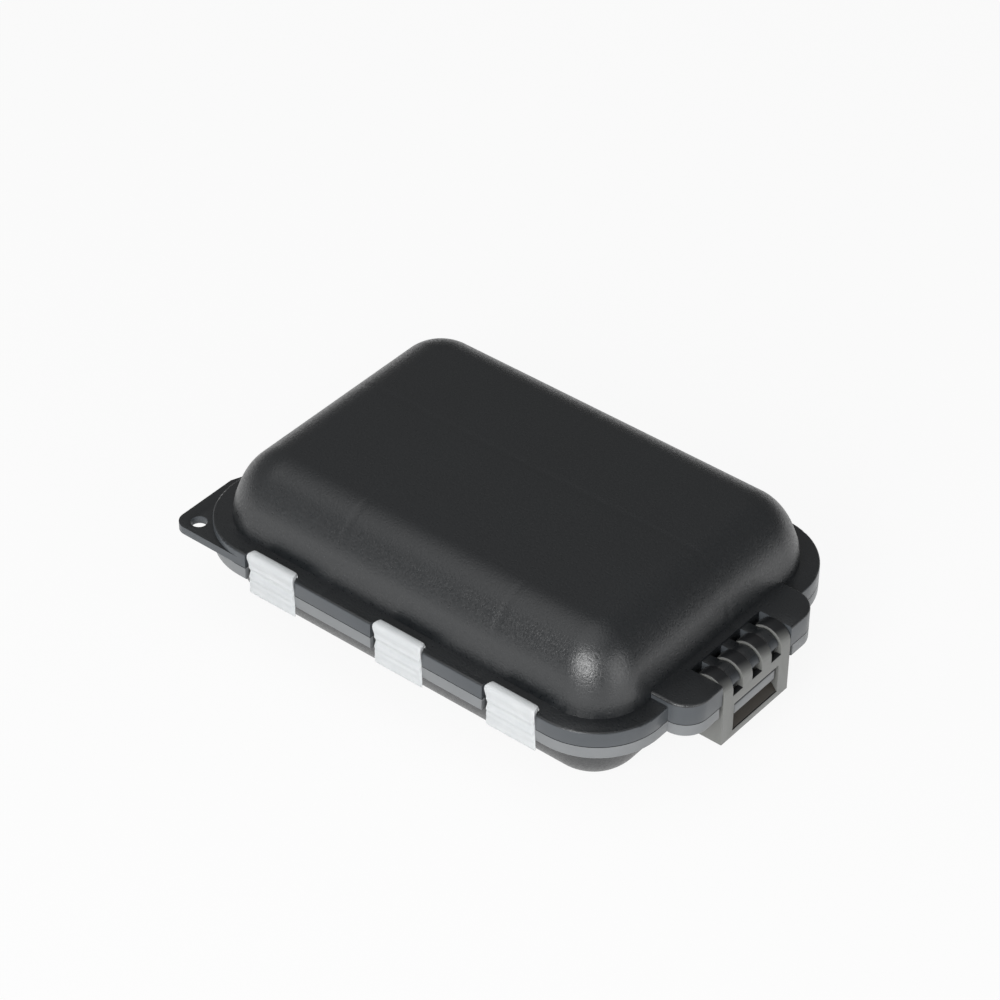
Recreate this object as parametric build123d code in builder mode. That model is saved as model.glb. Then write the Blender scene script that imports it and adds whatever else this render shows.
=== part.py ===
from build123d import *
import os

# Pocket box for small tackle: two domed shells that open flat like a book on three
# flexing hinge strips, ten clear compartment covers and one barrel-hinged latch.
# The origin is under the middle of the base, X runs along the box towards the latch,
# and the hinge strips are on the -Y side. All lengths are in mm.

# The case
case_length = 110.0
case_width = 79.0
corner_radius = 15.5
base_depth = 17.5
lid_height = 19.0
base_band = 3.0
lid_band = 3.6
band_edge = 0.5
parting_gap = 0.15
dome_inset = 4.1
dome_draft = 5.0
dome_fillet = 9.6
wall = 1.5

# The tray of each half: a ledge for the covers above ribbed compartments
seat_depth = 1.9
seat_end_inset = 4.7
seat_side_inset = 3.0
seat_radius = 11.5
rib = 1.2
near_rib_x = (-17.5, 22.0)
far_rib_x = (0.0,)
spine_y = (2.6, 5.8)

# Compartment covers and their snap trunnions
cover_thickness = 1.0
cover_drop = 0.75
cover_gap = 0.25
trunnion_radius = 0.5
trunnion_length = 0.8
trunnion_clearance = 0.05
lug_length = 2.0
lug_drop = 0.3
near_hinge_y = -35.5
near_lug_x = (-40.0, -17.5, 22.0, 40.0)
near_free_y = 4.0
far_hinge_y = 5.6
far_lug_x = (-49.3, 0.0, 49.3)
tab_length = 8.0
tab_height = 0.4

# Hinge strips on the -Y side, and the axis that they flex about
hinge_offset = 0.2
strip_x = (-30.4, 2.7, 31.0)
strip_length = 11.6
strip_gap = 1.4
strip_thickness = 1.0
strip_reach = 3.9
strip_foot = 1.1
strip_web = 0.35

# Latch, hinged on a pin through the lobes of the lid
pin_x = 56.9
pin_rise = 1.7
pin_radius = 0.9
pin_half_length = 17.0
pin_clearance = 0.05
barrel_radius = 3.8
strap = 3.1
strap_space = 3.2
latch_drop = 10.5
plate_thickness = 1.35
window_half = 7.4
window_top = 2.1
window_bottom = 8.9
cheek = 1.5
cheek_reach = 54.4
knuckle_radius = 3.35
knuckle_width = 2.6
lobe_half = 21.4
lobe_front = 60.5
lobe_radius = 5.5
lobe_rise = 5.0
lid_bay_half = 11.3
base_bay_half = 12.1
bay_depth_x = 52.7
catch_half = 6.9
catch_top = 2.6
catch_bottom = 5.0
catch_front = 59.15

# Lanyard ear on the lid's -X end
ear_end_x = -57.4
ear_far_y = -16.0
ear_thickness = 1.8
ear_radius = 3.0
ear_hole_radius = 1.75
ear_hole = (-53.2, -36.1)

half_length = case_length / 2
half_width = case_width / 2
hinge_y = -half_width - hinge_offset
latch_half = 2 * strap + 1.5 * strap_space
pin_z = base_depth + pin_rise
cover_axis = cover_drop + cover_thickness / 2


def level(up, depth):
    """A horizontal plane at a distance from the parting plane, into one half."""
    return Plane.XY.offset(base_depth + up * depth)


def span(low, high):
    """The middle and the length of an interval."""
    return (low + high) / 2, high - low


def cavity(up, height):
    """The room inside one dome, down to its floor and up to the parting plane."""
    inset = dome_inset + wall
    with BuildPart() as room:
        with BuildSketch(level(up, 0)):
            RectangleRounded(case_length - 2 * inset, case_width - 2 * inset, corner_radius - inset)
        extrude(amount=lid_band, dir=(0, 0, up))
        add(dome(up, height - wall, inset, lid_band))
    return room.part


def strip_pockets(up, band):
    """The pockets in the bands that take the hinge strips."""
    with BuildPart() as pockets:
        with BuildSketch(level(up, 0)):
            for x in strip_x:
                low = x - strip_length / 2 - strip_gap
                high = x + strip_length / 2 + cover_gap
                middle, length = span(low, high)
                with Locations((middle, -half_width)):
                    Rectangle(length, 2 * strip_thickness)
        extrude(amount=band, dir=(0, 0, up))
    return pockets.part


def half_shell(up, height, band):
    """One domed shell with its band, ledge, ribs and cover lugs."""
    bay_half = lid_bay_half if up > 0 else base_bay_half
    bay_middle, bay_length = span(bay_depth_x, lobe_front + 1)
    with BuildPart() as half:
        with BuildSketch(level(up, parting_gap / 2)):
            RectangleRounded(case_length, case_width, corner_radius)
        extrude(amount=band - parting_gap / 2, dir=(0, 0, up))
        fillet(half.edges().group_by(Axis.Z)[-1 if up > 0 else 0], band_edge)
        add(dome(up, height, dome_inset, band))
        add(lobes(up))
        add(cavity(up, height), mode=Mode.SUBTRACT)
        with BuildSketch(level(up, 0)):
            RectangleRounded(
                case_length - 2 * seat_end_inset, case_width - 2 * seat_side_inset, seat_radius
            )
        extrude(amount=seat_depth, dir=(0, 0, up), mode=Mode.SUBTRACT)
        add(ribs(up, height))
        add(cover_lugs(up))
        add(strip_pockets(up, band), mode=Mode.SUBTRACT)
        with BuildSketch(level(up, 0)):
            with Locations((bay_middle, 0)):
                Rectangle(bay_length, 2 * bay_half)
        extrude(amount=lobe_rise + 1, dir=(0, 0, up), mode=Mode.SUBTRACT)
    return half.part


def dome(up, height, inset, start):
    """A drafted dome with a large top fillet, inset from the band's outline."""
    with BuildPart() as form:
        with BuildSketch(level(up, start)):
            RectangleRounded(
                case_length - 2 * inset, case_width - 2 * inset, corner_radius - inset
            )
        extrude(amount=height - start, dir=(0, 0, up), taper=dome_draft)
        end_face = form.faces().sort_by(Axis.Z)[-1 if up > 0 else 0]
        fillet(end_face.edges(), dome_fillet - (inset - dome_inset))
    return form.part


def lobes(up):
    """The two rounded lobes beside the latch, taller on the lid."""
    rise = lobe_rise if up > 0 else base_band
    middle, length = span(48.0, lobe_front)
    with BuildPart() as pair:
        with BuildSketch(level(up, parting_gap / 2)):
            with Locations((middle, 0)):
                Rectangle(length, 2 * lobe_half)
        extrude(amount=rise - parting_gap / 2, dir=(0, 0, up))
        fillet(pair.edges().filter_by(Axis.Z).sort_by(Axis.X)[-2:], lobe_radius)
        end_face = pair.faces().sort_by(Axis.Z)[-1 if up > 0 else 0]
        fillet(end_face.edges().sort_by(Axis.X)[1:], band_edge)
    return pair.part


def ribs(up, height):
    """The double spine and the dividers, from the ledge down to the floor."""
    near_middle, near_length = span(-half_width, spine_y[0])
    far_middle, far_length = span(spine_y[1], half_width)
    with BuildPart() as grid:
        with BuildSketch(level(up, seat_depth)):
            for y in spine_y:
                with Locations((0, y)):
                    Rectangle(case_length, rib)
            for x in near_rib_x:
                with Locations((x, near_middle)):
                    Rectangle(rib, near_length)
            for x in far_rib_x:
                with Locations((x, far_middle)):
                    Rectangle(rib, far_length)
        extrude(amount=height - seat_depth, dir=(0, 0, up))
        add(dome(up, height - wall / 2, dome_inset + wall / 2, lid_band - 2), mode=Mode.INTERSECT)
    return grid.part


def cover_lugs(up):
    """The small bearing lugs that the covers' trunnions snap into."""
    with BuildPart() as lugs:
        with BuildSketch(level(up, lug_drop)):
            for x in near_lug_x:
                with Locations((x, near_hinge_y)):
                    Rectangle(lug_length, lug_length)
            for x in far_lug_x:
                with Locations((x, far_hinge_y)):
                    Rectangle(lug_length, lug_length)
        extrude(amount=seat_depth - lug_drop, dir=(0, 0, up))
        with BuildSketch(Plane.YZ.offset(-half_length)):
            for y in (near_hinge_y, far_hinge_y):
                with Locations((y, base_depth + up * cover_axis)):
                    Circle(trunnion_radius + trunnion_clearance)
        extrude(amount=case_length, mode=Mode.SUBTRACT)
    return lugs.part


def cover(up, hinge_line, free_line, lugs, plate, side_inset):
    """A clear cover: a plate with a barrel edge, two trunnions and a thumb tab."""
    middle_x, length_x = span(*plate)
    middle_y, length_y = span(hinge_line, free_line)
    barrel_low = lugs[0] + lug_length / 2 + cover_gap
    barrel_high = lugs[1] - lug_length / 2 - cover_gap
    axis_z = base_depth + up * cover_axis
    with BuildPart() as flap:
        with BuildSketch(level(up, cover_drop)):
            with Locations((middle_x, middle_y)):
                Rectangle(length_x, length_y)
            RectangleRounded(
                case_length - 2 * (seat_end_inset + 0.4),
                case_width - 2 * side_inset,
                seat_radius - 0.4,
                mode=Mode.INTERSECT,
            )
            for x in lugs:
                with Locations((x, hinge_line)):
                    Rectangle(lug_length + 2 * cover_gap, lug_length + 1.2, mode=Mode.SUBTRACT)
        extrude(amount=cover_thickness, dir=(0, 0, up))
        with BuildSketch(Plane.YZ.offset(barrel_low)):
            with Locations((hinge_line, axis_z)):
                Circle(cover_thickness / 2)
        extrude(amount=barrel_high - barrel_low)
        with BuildSketch(Plane.YZ.offset(barrel_low - trunnion_length)):
            with Locations((hinge_line, axis_z)):
                Circle(trunnion_radius)
        extrude(amount=barrel_high - barrel_low + 2 * trunnion_length)
        with BuildSketch(level(up, cover_drop - tab_height)):
            with Locations((middle_x, free_line - 1.0)):
                SlotOverall(tab_length, 1.2)
        extrude(amount=2 * tab_height, dir=(0, 0, up))
    return flap.part


def cover_row(up):
    """The five covers of one half: three near the hinge side, two on the far side."""
    end = half_length - seat_end_inset - 0.4
    near_edges = (-end, near_rib_x[0], near_rib_x[1], end)
    far_edges = (-end, far_rib_x[0], end)
    far_free_y = half_width - seat_side_inset - 0.4
    rows = (
        (near_hinge_y, near_free_y, near_lug_x, near_edges, seat_side_inset + 1.4),
        (far_hinge_y, far_free_y, far_lug_x, far_edges, seat_side_inset + 0.4),
    )
    found = []
    for hinge_line, free_line, lug_x, edges, side_inset in rows:
        for i in range(len(edges) - 1):
            plate = (edges[i] + cover_gap, edges[i + 1] - cover_gap)
            found.append(cover(up, hinge_line, free_line, lug_x[i : i + 2], plate, side_inset))
    return found


def knuckles():
    """Three knuckles of the lid, between the straps of the latch."""
    bottom = base_depth + parting_gap / 2
    web_middle, web_length = span(bay_depth_x - 0.5, pin_x)
    with BuildPart() as row:
        for i in (-1, 0, 1):
            y = i * (strap + strap_space) + knuckle_width / 2
            with BuildSketch(Plane.XZ.offset(-y)):
                with Locations((pin_x, pin_z)):
                    Circle(knuckle_radius)
                with Locations((web_middle, pin_z)):
                    Rectangle(web_length, 2 * knuckle_radius - 1.0)
                with Locations((pin_x, bottom - 5)):
                    Rectangle(20, 10, mode=Mode.SUBTRACT)
                with Locations((pin_x + 1.9 + 5, pin_z + 0.95 - 5)):
                    Rectangle(10, 10, mode=Mode.SUBTRACT)
            extrude(amount=knuckle_width)
    return row.part


def pin_rod(radius, half):
    """A rod along Y on the latch's axis, for the pin and its bores."""
    with BuildPart() as rod:
        with BuildSketch(Plane.XZ.offset(-half)):
            with Locations((pin_x, pin_z)):
                Circle(radius)
        extrude(amount=2 * half)
    return rod.part


def ear():
    """The lanyard ear: a flat plate at the corner of the lid, with its hole."""
    inner_x = -half_length + corner_radius
    with BuildPart() as plate:
        with BuildSketch(level(1, parting_gap / 2)):
            with BuildLine():
                Polyline(
                    (inner_x, -half_width),
                    (ear_end_x, -half_width),
                    (ear_end_x, ear_far_y - 6),
                    (-half_length, ear_far_y),
                    (-half_length + 3.5, ear_far_y),
                    (-half_length + 3.5, -half_width + corner_radius),
                    (inner_x, -half_width + 3.5),
                    close=True,
                )
            make_face()
            RectangleRounded(
                case_length - 2 * wall, case_width - 2 * wall, corner_radius - wall, mode=Mode.SUBTRACT
            )
        extrude(amount=ear_thickness)
        corner = plate.edges().filter_by(Axis.Z).sort_by_distance((ear_end_x, -half_width, 0))
        fillet(corner[0], ear_radius)
    return plate.part


os.makedirs("parts", exist_ok=True)

# Base shell, with the catch bar that the latch's window closes over
bar_middle, bar_length = span(bay_depth_x - 1, catch_front)
with BuildPart() as base_shell:
    add(half_shell(-1, base_depth, base_band))
    with BuildSketch(level(-1, catch_top)):
        with Locations((bar_middle, 0)):
            Rectangle(bar_length, 2 * catch_half)
    extrude(amount=catch_bottom - catch_top, dir=(0, 0, -1))
base_shell.part.label = "base_shell"
export_step(base_shell.part, "parts/base_shell.step")

# Lid shell, with its latch knuckles and lanyard ear
with BuildPart() as lid_shell:
    add(half_shell(1, lid_height, lid_band))
    add(knuckles())
    add(ear())
    with BuildSketch(level(1, 0)):
        with Locations(ear_hole):
            Circle(ear_hole_radius)
    extrude(amount=2 * ear_thickness, mode=Mode.SUBTRACT)
    add(pin_rod(pin_radius, pin_half_length), mode=Mode.SUBTRACT)
lid_shell.part.label = "lid_shell"
export_step(lid_shell.part, "parts/lid_shell.step")

# Compartment covers, five in each half
for half_name, up in (("base", -1), ("lid", 1)):
    for number, flap in enumerate(cover_row(up), start=1):
        flap.label = f"{half_name}_cover_{number}"
        export_step(flap, f"parts/{flap.label}.step")

# Hinge strips: an upper leaf on the lid and a lower leaf on the base for each
for number, x in enumerate(strip_x, start=1):
    for half_name, up, band in (("base", -1, base_band), ("lid", 1, lid_band)):
        outer = -half_width - hinge_offset / 4
        inner = -half_width + strip_thickness
        web = hinge_offset + strip_web / 2
        with BuildPart() as leaf:
            with BuildSketch(Plane.YZ.offset(x - strip_length / 2)):
                with BuildLine():
                    Polyline(
                        (outer, base_depth + up * web),
                        (inner, base_depth + up * web),
                        (inner, base_depth + up * band),
                        (-half_width + strip_reach, base_depth + up * band),
                        (-half_width + strip_reach, base_depth + up * (band + strip_foot)),
                        (outer, base_depth + up * (band + strip_foot)),
                        close=True,
                    )
                make_face()
            extrude(amount=strip_length)
            rim = leaf.edges().filter_by(Axis.X).sort_by_distance(
                (x, outer, base_depth + up * (band + strip_foot))
            )
            fillet(rim[0], 0.6)
        leaf.part.label = f"hinge_strip_{half_name}_{number}"
        export_step(leaf.part, f"parts/{leaf.part.label}.step")

# Latch: four straps around the pin, a framed window and two cheeks
plate_back = pin_x + barrel_radius - plate_thickness
plate_front = pin_x + barrel_radius
latch_bottom = base_depth - latch_drop
with BuildPart() as latch:
    for i in range(4):
        y = -latch_half + strap + i * (strap + strap_space)
        with BuildSketch(Plane.XZ.offset(-y)):
            with Locations((pin_x, pin_z)):
                Circle(barrel_radius)
        extrude(amount=strap)
    plate_middle, plate_length = span(plate_back, plate_front)
    with BuildSketch(Plane.XY.offset(latch_bottom)):
        with Locations((plate_middle, 0)):
            Rectangle(plate_length, 2 * latch_half)
    extrude(amount=pin_z - latch_bottom)
    slot_bottom = base_depth + 0.4
    for i in (-1, 0, 1):
        with BuildSketch(Plane.XY.offset(slot_bottom)):
            with Locations((plate_middle, i * (strap + strap_space))):
                Rectangle(plate_length + 1, strap_space)
        extrude(amount=10, mode=Mode.SUBTRACT)
    cheek_middle, cheek_length = span(cheek_reach, plate_front)
    with BuildSketch(Plane.XY.offset(latch_bottom)):
        for side in (-1, 1):
            with Locations((cheek_middle, side * (latch_half - cheek / 2))):
                Rectangle(cheek_length, cheek)
    extrude(amount=pin_z - latch_bottom)
    with BuildSketch(Plane.XZ.offset(-latch_half - 1)):
        with BuildLine():
            Polyline(
                (cheek_reach - 1, pin_z + 0.1),
                (cheek_reach - 1, latch_bottom + 3),
                (cheek_reach, latch_bottom + 3.5),
                (plate_back - 0.6, base_depth - 3.2),
                (plate_back - 0.6, pin_z + 0.1),
                close=True,
            )
        make_face()
    extrude(amount=2 * latch_half + 2, mode=Mode.SUBTRACT)
    for i in range(4):
        y = -latch_half + strap + i * (strap + strap_space)
        with BuildSketch(Plane.XZ.offset(-y)):
            with Locations((pin_x, pin_z)):
                Circle(barrel_radius)
        extrude(amount=strap)
    window_middle, window_length = span(base_depth - window_bottom, base_depth - window_top)
    with BuildSketch(Plane.YZ.offset(plate_back - 1)):
        with Locations((0, window_middle)):
            Rectangle(2 * window_half, window_length)
    extrude(amount=plate_thickness + 2, mode=Mode.SUBTRACT)
    add(pin_rod(pin_radius + pin_clearance, latch_half), mode=Mode.SUBTRACT)
latch.part.label = "latch"
export_step(latch.part, "parts/latch.step")

# Latch pin, pressed into the lobes and knuckles of the lid
with BuildPart() as latch_pin:
    add(pin_rod(pin_radius, pin_half_length))
latch_pin.part.label = "latch_pin"
export_step(latch_pin.part, "parts/latch_pin.step")
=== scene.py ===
import bpy
import bmesh
from math import cos, hypot, radians, sin, sqrt, tan
from mathutils import Matrix, Vector


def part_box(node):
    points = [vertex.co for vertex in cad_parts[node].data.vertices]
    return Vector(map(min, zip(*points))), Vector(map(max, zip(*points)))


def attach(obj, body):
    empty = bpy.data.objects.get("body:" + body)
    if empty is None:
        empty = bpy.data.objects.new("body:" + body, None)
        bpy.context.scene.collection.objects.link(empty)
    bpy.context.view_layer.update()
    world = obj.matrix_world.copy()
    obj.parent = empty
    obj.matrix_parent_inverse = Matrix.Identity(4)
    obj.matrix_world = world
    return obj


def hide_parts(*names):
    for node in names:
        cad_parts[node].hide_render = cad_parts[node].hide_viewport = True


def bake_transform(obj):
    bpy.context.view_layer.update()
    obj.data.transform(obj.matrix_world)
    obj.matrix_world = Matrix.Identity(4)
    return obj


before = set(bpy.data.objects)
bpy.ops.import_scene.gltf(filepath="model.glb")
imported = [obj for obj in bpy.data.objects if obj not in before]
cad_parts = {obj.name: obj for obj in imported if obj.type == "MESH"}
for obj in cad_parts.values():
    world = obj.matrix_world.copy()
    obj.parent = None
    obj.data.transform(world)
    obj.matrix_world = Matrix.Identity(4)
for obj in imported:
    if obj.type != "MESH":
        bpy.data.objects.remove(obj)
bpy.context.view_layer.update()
print("frame loaded")

mm = 0.001
baseLow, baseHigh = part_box("base_shell")
lidLow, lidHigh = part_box("lid_shell")
partingZ = (baseHigh.z + lidLow.z) / 2
nearY = -lidHigh.y  # the band's face on the hinge side


# Small helpers

def linearColour(hexText):
    # sRGB hex to the linear colour that Blender's sockets take
    parts = [int(hexText[i:i + 2], 16) / 255 for i in (1, 3, 5)]
    return [p / 12.92 if p <= 0.04045 else ((p + 0.055) / 1.055) ** 2.4 for p in parts] + [1.0]


def perMetre(sizeMm):
    # texture scale for a pattern whose features are this many mm apart
    return 1000.0 / sizeMm


def addNode(tree, kind, inputs=None, **settings):
    node = tree.nodes.new(kind)
    for key, value in settings.items():
        setattr(node, key, value)
    for name, value in (inputs or {}).items():
        if isinstance(value, bpy.types.NodeSocket):
            tree.links.new(value, node.inputs[name])
        else:
            node.inputs[name].default_value = value
    return node


def newMaterial(name):
    material = bpy.data.materials.new(name)
    material.use_nodes = True
    tree = material.node_tree
    tree.nodes.clear()
    place = addNode(tree, "ShaderNodeTexCoord").outputs["Object"]
    return material, tree, place


def finishMaterial(tree, shader):
    addNode(tree, "ShaderNodeOutputMaterial", {"Surface": shader.outputs[0]})


def colourMix(tree, factor, first, second):
    # the two ends are hex colours or the outputs of other nodes
    ends = [linearColour(end) if isinstance(end, str) else end for end in (first, second)]
    inputs = {0: factor, 6: ends[0], 7: ends[1]}
    return addNode(tree, "ShaderNodeMix", inputs, data_type="RGBA").outputs[2]


def spread(tree, value, low, high, fromLow=0.3, fromHigh=0.7):
    # stretches the middle of a noise over a range
    return addNode(tree, "ShaderNodeMapRange", {
        "Value": value, "From Min": fromLow, "From Max": fromHigh, "To Min": low, "To Max": high,
    }).outputs[0]


def noise(tree, place, sizeMm, detail=2.0):
    return addNode(tree, "ShaderNodeTexNoise", {
        "Vector": place, "Scale": perMetre(sizeMm), "Detail": detail,
    }).outputs[0]


# Materials

mouldedShell = {
    "grainMm": 0.45, "grainDepth": 0.07 * mm, "scuffMm": 22.0,
    "dark": "#101316", "pale": "#171b1e", "roughLow": 0.26, "roughHigh": 0.46, "specular": 1.0,
    "sinkHalfMm": 1.5, "sinkDepth": 0.05 * mm,
}


def sinkMark(tree, along, centreMm):
    # 1 on the line over a rib, fading to 0 beside it
    away = addNode(tree, "ShaderNodeMath", {0: along, 1: centreMm * mm}, operation="SUBTRACT")
    size = addNode(tree, "ShaderNodeMath", {0: away.outputs[0]}, operation="ABSOLUTE")
    return addNode(tree, "ShaderNodeMapRange", {
        "Value": size.outputs[0], "From Min": 0.0, "From Max": mouldedShell["sinkHalfMm"] * mm,
        "To Min": 1.0, "To Max": 0.0,
    }, interpolation_type="SMOOTHSTEP").outputs[0]


def sparkErodedAbs():
    # ABS moulded against a spark-eroded tool: a fine even grain that breaks the highlight into
    # sparkles, and faint sink marks over the ribs inside
    material, tree, place = newMaterial("sparkErodedAbs")
    look = mouldedShell
    grain = noise(tree, place, look["grainMm"], 3.0)
    scuff = noise(tree, place, look["scuffMm"], 4.0)
    axes = addNode(tree, "ShaderNodeSeparateXYZ", {0: place})
    far = addNode(tree, "ShaderNodeMath", {0: axes.outputs[1], 1: 4.2 * mm}, operation="GREATER_THAN")
    near = addNode(tree, "ShaderNodeMath", {0: 1.0, 1: far.outputs[0]}, operation="SUBTRACT")
    total = sinkMark(tree, axes.outputs[1], 4.2)
    for centre, side in ((-17.5, near), (22.0, near), (0.0, far)):
        mark = sinkMark(tree, axes.outputs[0], centre)
        part = addNode(tree, "ShaderNodeMath", {0: mark, 1: side.outputs[0]}, operation="MULTIPLY")
        both = addNode(tree, "ShaderNodeMath", {0: total, 1: part.outputs[0]}, operation="MAXIMUM")
        total = both.outputs[0]
    sunk = addNode(tree, "ShaderNodeBump", {
        "Height": total, "Strength": 1.0, "Distance": look["sinkDepth"],
    }, invert=True)
    bump = addNode(tree, "ShaderNodeBump", {
        "Height": grain, "Strength": 1.0, "Distance": look["grainDepth"], "Normal": sunk.outputs[0],
    })
    shader = addNode(tree, "ShaderNodeBsdfPrincipled", {
        "Base Color": colourMix(tree, scuff, look["dark"], look["pale"]),
        "Roughness": spread(tree, grain, look["roughLow"], look["roughHigh"]),
        "Specular IOR Level": look["specular"], "Normal": bump.outputs[0],
    })
    finishMaterial(tree, shader)
    return material


satinSkinAndPaintedShade = {
    "grainMm": 0.6, "grainDepth": 0.006 * mm, "streakMm": 9.0, "specular": 0.5,
    # how far a face has to look up before the painted shade on it starts and ends
    "paintedShadeStart": 0.25, "paintedShadeEnd": 0.85,
}


def satinAbsWithPaintedLight(name, litSideDarkHex, litSidePaleHex, shadedTopHex, roughness):
    # ABS moulded against a fine-ground tool, with painted light: pale fronts as a painted reflection
    # of the bright room, while the faces that look up get painted shade, as dark as the domes, so that
    # every edge reads as a change of tone
    material, tree, place = newMaterial(name)
    facing = addNode(tree, "ShaderNodeSeparateXYZ", {
        0: addNode(tree, "ShaderNodeTexCoord").outputs["Normal"],
    }).outputs[2]
    look = satinSkinAndPaintedShade
    grain = noise(tree, place, look["grainMm"])
    streak = noise(tree, place, look["streakMm"], 3.0)
    bump = addNode(tree, "ShaderNodeBump", {
        "Height": grain, "Strength": 1.0, "Distance": look["grainDepth"],
    })
    # painted reflection: the front faces get a pale grey that stands in for the bright room reflected
    # in them
    paintedLitSides = colourMix(tree, streak, litSideDarkHex, litSidePaleHex)
    # painted shade: the faces that look up are painted dark, for the weaker light that falls on them
    paintedShadeOnTops = spread(tree, facing, 0.0, 1.0, look["paintedShadeStart"], look["paintedShadeEnd"])
    shader = addNode(tree, "ShaderNodeBsdfPrincipled", {
        "Base Color": colourMix(tree, paintedShadeOnTops, paintedLitSides, shadedTopHex),
        "Roughness": spread(tree, streak, roughness - 0.05, roughness + 0.06),
        "Specular IOR Level": look["specular"], "Normal": bump.outputs[0],
    })
    finishMaterial(tree, shader)
    return material


def flexPolypropylene():
    # Natural polypropylene: milky, waxy and a little see-through, with soft flow marks
    material, tree, place = newMaterial("flexPolypropylene")
    flow = noise(tree, place, 2.4, 3.0)
    bump = addNode(tree, "ShaderNodeBump", {"Height": flow, "Strength": 1.0, "Distance": 0.04 * mm})
    shader = addNode(tree, "ShaderNodeBsdfPrincipled", {
        "Base Color": colourMix(tree, flow, "#cdd1d3", "#dddfe0"),
        "Roughness": spread(tree, flow, 0.34, 0.48),
        "Subsurface Weight": 0.35, "Subsurface Radius": (1.0, 1.0, 1.0), "Subsurface Scale": 0.6 * mm,
        "Normal": bump.outputs[0],
    })
    finishMaterial(tree, shader)
    return material


def clearStyrene():
    # Clear polystyrene, moulded glossy: nearly colourless, with a faint waviness
    material, tree, place = newMaterial("clearStyrene")
    wave = noise(tree, place, 6.0)
    bump = addNode(tree, "ShaderNodeBump", {"Height": wave, "Strength": 1.0, "Distance": 0.03 * mm})
    shader = addNode(tree, "ShaderNodeBsdfPrincipled", {
        "Base Color": colourMix(tree, wave, "#e6eeee", "#f4f8f8"),
        "Roughness": spread(tree, wave, 0.04, 0.10), "IOR": 1.59,
        "Transmission Weight": 1.0, "Normal": bump.outputs[0],
    })
    finishMaterial(tree, shader)
    return material


def drawnSteel():
    # Drawn steel wire: fine bright lines along the pin
    material, tree, place = newMaterial("drawnSteel")
    stretched = addNode(tree, "ShaderNodeMapping", {"Vector": place, "Scale": (1.0, 0.04, 1.0)})
    lines = noise(tree, stretched.outputs[0], 0.12)
    shader = addNode(tree, "ShaderNodeBsdfPrincipled", {
        "Base Color": colourMix(tree, lines, "#a9abad", "#c9cacb"),
        "Roughness": spread(tree, lines, 0.22, 0.38), "Metallic": 1.0,
    })
    finishMaterial(tree, shader)
    return material


domeFinish = sparkErodedAbs()
# painted light: lid and base are the same black ABS, but the base band is painted paler, as painted
# light thrown up by the white floor
lidBandPaintedLightFinish = satinAbsWithPaintedLight("lidBandWithPaintedLight", "#4a4e52", "#575b5f", "#14171a", 0.34)
baseBandPaintedLightFinish = satinAbsWithPaintedLight("baseBandWithPaintedFloorLight", "#7b7e80", "#8a8c8e", "#1a1d20", 0.34)
# painted reflection: the black latch's fronts are painted pale grey for the white room reflected in
# them, and its tops painted dark as shade
latchPaintedLightFinish = satinAbsWithPaintedLight("latchWithPaintedReflection", "#747573", "#858683", "#1b1c1e", 0.36)
# painted reflection: the ramp lies in shade inside the window, and its warm brown stands in for light
# reflected onto it
rampPaintedReflectionFinish = satinAbsWithPaintedLight("rampWithPaintedReflection", "#302c27", "#3c3732", "#38342e", 0.4)
stripFinish = flexPolypropylene()
coverFinish = clearStyrene()
pinFinish = drawnSteel()
print("materials made")


# Shells and latch: rounded copies of the moulded parts

roundedParts = {
    "lid_shell": {
        "name": "lidShell", "body": "lid_half", "edge": 0.22, "slot": "shell_black",
        "dome": {"up": 1, "height": lidHigh.z - partingZ, "band": 3.6 * mm},
    },
    "base_shell": {
        "name": "baseShell", "body": "base_half", "edge": 0.22, "slot": "shell_black",
        "dome": {"up": -1, "height": partingZ - baseLow.z, "band": 3.0 * mm},
    },
    "latch": {"name": "latchFrame", "body": "latch_arm", "edge": 0.3, "slot": "latch_black"},
}
domeShape = {
    "inset": 4.1 * mm, "draft": radians(5), "fillet": 9.6 * mm, "reach": 12.5 * mm,
    # the easing starts this far above the band, and leaves what stands this far outside the dome
    "start": 0.01 * mm, "outside": 0.3 * mm,
}
bandSkin = {"corner": 15.5 * mm, "halfHeight": 4.2 * mm, "depth": 0.9 * mm, "steepest": 0.75}
meshCare = {
    "weld": 0.002 * mm, "flat": radians(0.4), "sharp": radians(38), "segments": 3,
}


def shoulderInset(height, dome, eased):
    # how far the dome's wall stands in at a height: as moulded, or eased into a quarter ellipse
    over = height - dome["band"]
    full = dome["height"] - dome["band"]
    if eased:
        return domeShape["reach"] * (1 - sqrt(max(0.0, 1 - (over / full) ** 2)))
    bend = max(0.0, height - dome["height"] + domeShape["fillet"]) / domeShape["fillet"]
    return over * tan(domeShape["draft"]) + domeShape["fillet"] * (1 - sqrt(max(0.0, 1 - bend ** 2)))


def easeShoulders(solid, dome):
    # rounds the dome's shoulders by drawing each level of it in towards the middle
    halfX = -baseLow.x - domeShape["inset"]
    halfY = -nearY - domeShape["inset"]
    for vert in solid.verts:
        height = (vert.co.z - partingZ) * dome["up"]
        low = height <= dome["band"] + domeShape["start"]
        if low or vert.co.x > halfX + domeShape["outside"]:
            continue
        moulded = shoulderInset(height, dome, False)
        drawnIn = shoulderInset(height, dome, True) - moulded
        vert.co.x *= 1 - drawnIn / (halfX - moulded)
        vert.co.y *= 1 - drawnIn / (halfY - moulded)


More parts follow.
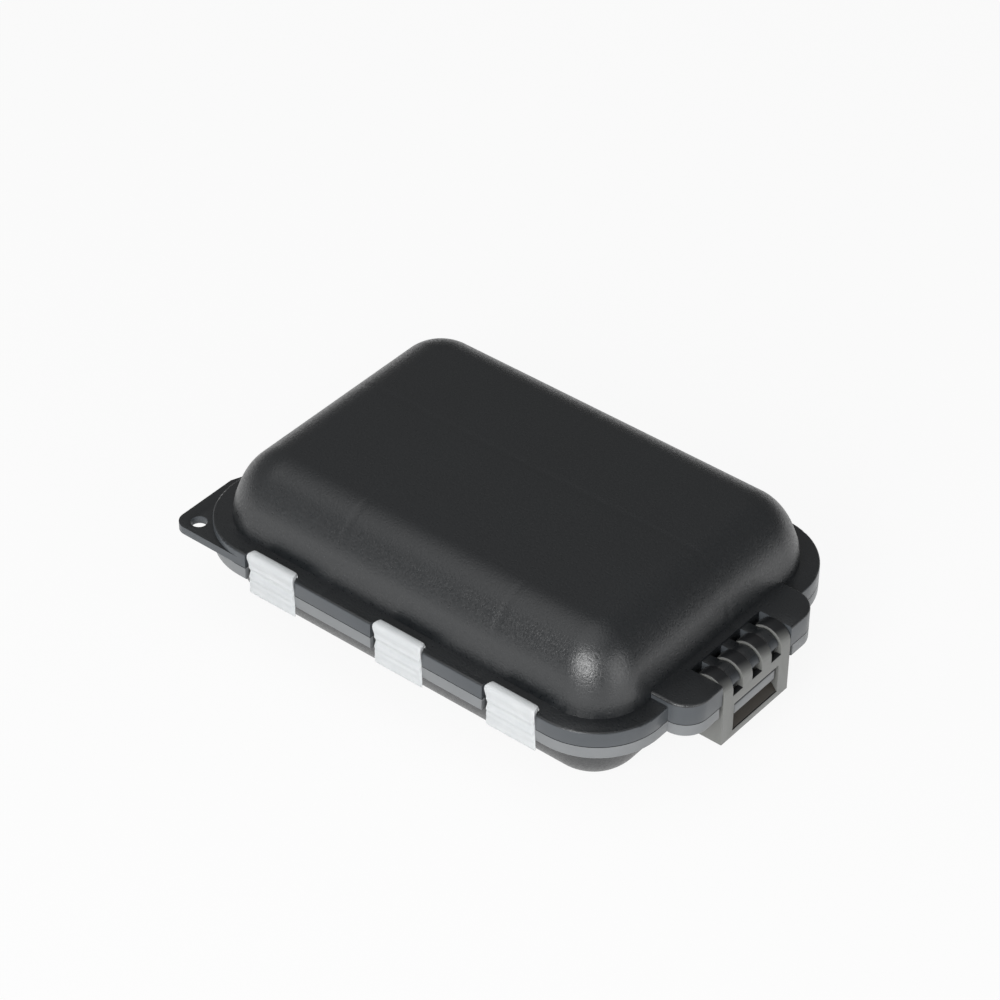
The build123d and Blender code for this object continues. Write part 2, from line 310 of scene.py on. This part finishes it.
def roundedCopy(node, data, finishes, chooseFinish):
    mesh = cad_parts[node].data.copy()
    mesh.name = data["name"]
    solid = bmesh.new()
    solid.from_mesh(mesh)
    bmesh.ops.remove_doubles(solid, verts=solid.verts, dist=meshCare["weld"])
    bmesh.ops.dissolve_limit(
        solid, angle_limit=meshCare["flat"], verts=solid.verts, edges=solid.edges,
    )
    if "dome" in data:
        easeShoulders(solid, data["dome"])
    mesh.materials.clear()
    for finish in finishes:
        mesh.materials.append(finish)
    for face in solid.faces:
        face.smooth = True
        face.material_index = chooseFinish(face)
    solid.to_mesh(mesh)
    solid.free()
    piece = bpy.data.objects.new(data["name"], mesh)
    bpy.context.scene.collection.objects.link(piece)
    bevel = piece.modifiers.new("edges", "BEVEL")
    bevel.width = data["edge"] * mm
    bevel.segments = meshCare["segments"]
    bevel.limit_method = "ANGLE"
    bevel.angle_limit = meshCare["sharp"]
    bevel.harden_normals = True
    bevel.use_clamp_overlap = True
    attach(piece, data["body"])
    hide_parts(node)


def shellFinish(face):
    # 0 is the textured skin, 1 the band's steep faces, which take the satin material with its painted
    # light on the fronts
    middle = face.calc_center_median()
    corner = bandSkin["corner"]
    overX = abs(middle.x) + baseLow.x + corner
    overY = abs(middle.y) + nearY + corner
    outward = hypot(max(overX, 0), max(overY, 0)) + min(max(overX, overY), 0) - corner
    near = abs(middle.z - partingZ) < bandSkin["halfHeight"] and outward > -bandSkin["depth"]
    return 1 if near and abs(face.normal.z) < bandSkin["steepest"] else 0


roundedCopy("lid_shell", roundedParts["lid_shell"], [domeFinish, lidBandPaintedLightFinish], shellFinish)
roundedCopy("base_shell", roundedParts["base_shell"], [domeFinish, baseBandPaintedLightFinish], shellFinish)
roundedCopy("latch", roundedParts["latch"], [latchPaintedLightFinish], lambda face: 0)
print("shells and latch made")


# What the latch's window shows: the catch's satin face, painted pale like the base band, and, below
# it, the latch's inner ramp with its painted reflection

windowBars = {
    "catchFace": {
        "body": "base_half", "slot": "shell_black", "halfWidth": 6.85 * mm,
        "rounding": 0.45 * mm,
        # corners from the parting line, x and z in mm
        "outline": [(58.9, -2.85), (60.35, -2.85), (60.35, -5.5), (58.9, -5.5)],
    },
    "latchRamp": {
        "body": "latch_arm", "slot": "latch_black", "halfWidth": 7.45 * mm,
        "rounding": 0.15 * mm,
        "outline": [(57.3, -5.75), (57.9, -5.55), (60.45, -8.75), (60.45, -9.3), (59.0, -9.3)],
    },
}


def makeBar(name, finish):
    look = windowBars[name]
    solid = bmesh.new()
    half = look["halfWidth"]
    ring = [solid.verts.new((x * mm, -half, partingZ + z * mm)) for x, z in look["outline"]]
    grown = bmesh.ops.extrude_face_region(solid, geom=[solid.faces.new(ring)])
    moved = [v for v in grown["geom"] if isinstance(v, bmesh.types.BMVert)]
    bmesh.ops.translate(solid, verts=moved, vec=(0, 2 * half, 0))
    bmesh.ops.recalc_face_normals(solid, faces=solid.faces)
    bmesh.ops.bevel(
        solid, geom=solid.edges[:], offset=look["rounding"],
        segments=meshCare["segments"], profile=0.5, affect="EDGES",
    )
    for face in solid.faces:
        face.smooth = True
    mesh = bpy.data.meshes.new(name)
    solid.to_mesh(mesh)
    solid.free()
    mesh.materials.append(finish)
    piece = bpy.data.objects.new(name, mesh)
    bpy.context.scene.collection.objects.link(piece)
    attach(piece, look["body"])


# painted light: the catch takes the base band's pale painted fronts and dark painted top
makeBar("catchFace", baseBandPaintedLightFinish)
makeBar("latchRamp", rampPaintedReflectionFinish)
print("window bars made")


# Hinge strips: one ribbed polypropylene moulding each, modelled unbent across the parting line, where
# the strip flexes

hingeStrip = {
    "web": 1.0 * mm,  # half the height that bends
    "cuts": 4, "endInset": 0.12 * mm, "smoothing": 2,
    # outer skin from the flange top down: how proud of the band, height over the parting line,
    # and how far the left and right ends stand out, all in mm
    "skin": [
        (-1.75, 4.25, 0.0, -0.5), (-1.55, 4.75, 0.0, -0.2), (-0.6, 4.85, 0.2, 0.0),
        (0.2, 4.7, 0.5, 0.1), (0.55, 4.1, 0.6, 0.25), (0.55, 3.0, 0.3, 0.3), (0.3, 2.2, 0.1, 0.1),
        (0.55, 1.5, 0.0, 0.0), (0.5, 1.1, 0.0, -0.2), (-0.1, 0.7, -0.1, -0.4),
        (-0.1, -0.4, -0.1, -0.4), (0.5, -0.8, 0.0, -0.3), (0.55, -1.3, 0.0, 0.0),
        (0.18, -2.0, 0.0, 0.0), (0.55, -2.7, 0.0, 0.2), (0.2, -3.5, 0.0, 0.4),
        (0.52, -4.3, 0.0, 0.7), (0.42, -5.1, 0.0, 0.8), (0.1, -5.5, 0.0, 0.5),
    ],
    "back": [(-0.45, -5.4), (-0.55, -3.2), (-1.0, -2.9), (-1.0, 3.7), (-1.75, 3.85)],
}


def makeStrip(number):
    low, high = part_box(f"hinge_strip_lid_{number}")
    look = hingeStrip
    solid = bmesh.new()
    outline = look["skin"] + [(p, z, 0.0, 0.0) for p, z in look["back"]]
    corners = [
        solid.verts.new((low.x - left * mm, nearY - p * mm, partingZ + z * mm))
        for p, z, left, right in outline
    ]
    grown = bmesh.ops.extrude_face_region(solid, geom=[solid.faces.new(corners)])
    moved = [v for v in grown["geom"] if isinstance(v, bmesh.types.BMVert)]
    bmesh.ops.translate(solid, verts=moved, vec=(high.x - low.x, 0, 0))
    for vert in moved:
        match = min(outline, key=lambda o: (
            abs(nearY - o[0] * mm - vert.co.y) + abs(partingZ + o[1] * mm - vert.co.z)
        ))
        vert.co.x += (match[2] + match[3]) * mm
    half = (high.x - low.x) / 2
    lengthwise = [e for e in solid.edges if abs(e.verts[0].co.x - e.verts[1].co.x) > half]
    bmesh.ops.subdivide_edges(solid, edges=lengthwise, cuts=look["cuts"], use_grid_fill=True)
    bmesh.ops.recalc_face_normals(solid, faces=solid.faces)
    ends = [f for f in solid.faces if abs(f.normal.x) > 0.9]
    bmesh.ops.inset_individual(solid, faces=ends, thickness=look["endInset"])
    for face in solid.faces:
        face.smooth = True
    mesh = bpy.data.meshes.new(f"hingeStrip{number}")
    solid.to_mesh(mesh)
    solid.free()
    mesh.materials.append(stripFinish)
    piece = bpy.data.objects.new(mesh.name, mesh)
    bpy.context.scene.collection.objects.link(piece)
    smooth = piece.modifiers.new("smooth", "SUBSURF")
    smooth.levels = smooth.render_levels = look["smoothing"]
    bpy.context.view_layer.update()
    shaped = piece.evaluated_get(bpy.context.evaluated_depsgraph_get())
    final = bpy.data.meshes.new_from_object(shaped)
    piece.modifiers.clear()
    piece.data = final
    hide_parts(f"hinge_strip_lid_{number}", f"hinge_strip_base_{number}")
    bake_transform(piece)


for number in (1, 2, 3):
    makeStrip(number)
print("hinge strips made")


# Finishes for the parts that stay as they are

for name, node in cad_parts.items():
    if "_cover_" in name:
        finish = coverFinish
    elif name == "latch_pin":
        finish = pinFinish
    else:
        continue
    node.data.materials.clear()
    node.data.materials.append(finish)
print("covers and pin finished")


# Floor, light and camera

studio = {
    "floorHalf": 1.2, "floorPale": "#f4f4f4", "floorGlow": 0.91,
    "behindLevel": 0.18, "frontLevel": 0.42,
    "lamps": {
        "frontSoftbox": {"at": (0.18, -0.60, 0.33), "size": 0.36, "watts": 2.9},
        "overheadSoftbox": {"at": (-0.10, -0.15, 0.65), "size": 0.7, "watts": 0.8},
        "sideSoftbox": {"at": (0.60, -0.10, 0.20), "size": 0.4, "watts": 0.8},
    },
}
view = {
    "azimuth": 38.576, "elevation": 38.77, "roll": 0.852, "distance": 0.741861,
    "target": (-0.012191, 0.010411, 0.0175), "lens": 129.73,
}


def makeFloor():
    plate = bmesh.new()
    bmesh.ops.create_grid(plate, x_segments=1, y_segments=1, size=studio["floorHalf"])
    mesh = bpy.data.meshes.new("studioFloor")
    plate.to_mesh(mesh)
    plate.free()
    material, tree, place = newMaterial("paintedFloor")
    ray = addNode(tree, "ShaderNodeLightPath")
    seen = ray.outputs["Is Camera Ray"]
    for kind in ("Is Glossy Ray", "Is Transmission Ray"):
        either = addNode(tree, "ShaderNodeMath", {0: seen, 1: ray.outputs[kind]}, operation="MAXIMUM")
        seen = either.outputs[0]
    share = addNode(tree, "ShaderNodeMath", {0: seen, 1: studio["floorGlow"]}, operation="MULTIPLY")
    paint = addNode(tree, "ShaderNodeBsdfDiffuse", {"Color": linearColour(studio["floorPale"])})
    glow = addNode(tree, "ShaderNodeEmission", {"Color": (1, 1, 1, 1), "Strength": 1.0})
    both = addNode(tree, "ShaderNodeMixShader", {
        0: share.outputs[0], 1: paint.outputs[0], 2: glow.outputs[0],
    })
    finishMaterial(tree, both)
    mesh.materials.append(material)
    floor = bpy.data.objects.new("studioFloor", mesh)
    bpy.context.scene.collection.objects.link(floor)


def makeWorld():
    world = bpy.data.worlds.new("paleStudio")
    world.use_nodes = True
    tree = world.node_tree
    tree.nodes.clear()
    # the room is brightest on the near side, where the windows are, and dim behind the case
    way = addNode(tree, "ShaderNodeTexCoord").outputs["Generated"]
    axes = addNode(tree, "ShaderNodeSeparateXYZ", {0: way})
    level = addNode(tree, "ShaderNodeMapRange", {
        "Value": axes.outputs[1], "From Min": -1.0, "From Max": 0.7,
        "To Min": studio["frontLevel"], "To Max": studio["behindLevel"],
    })
    back = addNode(tree, "ShaderNodeBackground", {"Color": (1, 1, 1, 1), "Strength": level.outputs[0]})
    addNode(tree, "ShaderNodeOutputWorld", {"Surface": back.outputs[0]})
    bpy.context.scene.world = world


def makeLamps():
    for name, lamp in studio["lamps"].items():
        data = bpy.data.lights.new(name, "AREA")
        data.size = lamp["size"]
        data.energy = lamp["watts"]
        light = bpy.data.objects.new(name, data)
        light.location = lamp["at"]
        towards = Vector((0, 0, partingZ)) - Vector(lamp["at"])
        light.rotation_euler = towards.to_track_quat("-Z", "Y").to_euler()
        bpy.context.scene.collection.objects.link(light)


def makeCamera():
    a, e = radians(view["azimuth"]), radians(view["elevation"])
    back = Vector((sin(a) * cos(e), -cos(a) * cos(e), sin(e)))
    right = Vector((cos(a), sin(a), 0))
    up = back.cross(right)
    r = radians(view["roll"])
    across = right * cos(r) + up * sin(r)
    upright = up * cos(r) - right * sin(r)
    data = bpy.data.cameras.new("productCamera")
    data.lens = view["lens"]
    data.sensor_width = 36.0
    data.sensor_fit = "HORIZONTAL"
    data.clip_start, data.clip_end = 0.02, 20.0
    camera = bpy.data.objects.new("productCamera", data)
    turn = Matrix((across, upright, back)).transposed().to_4x4()
    camera.matrix_world = Matrix.Translation(Vector(view["target"]) + back * view["distance"]) @ turn
    bpy.context.scene.collection.objects.link(camera)
    bpy.context.scene.camera = camera


makeFloor()
makeWorld()
makeLamps()
makeCamera()
bpy.context.scene.view_settings.view_transform = "Standard"
print("stage, light and camera made")
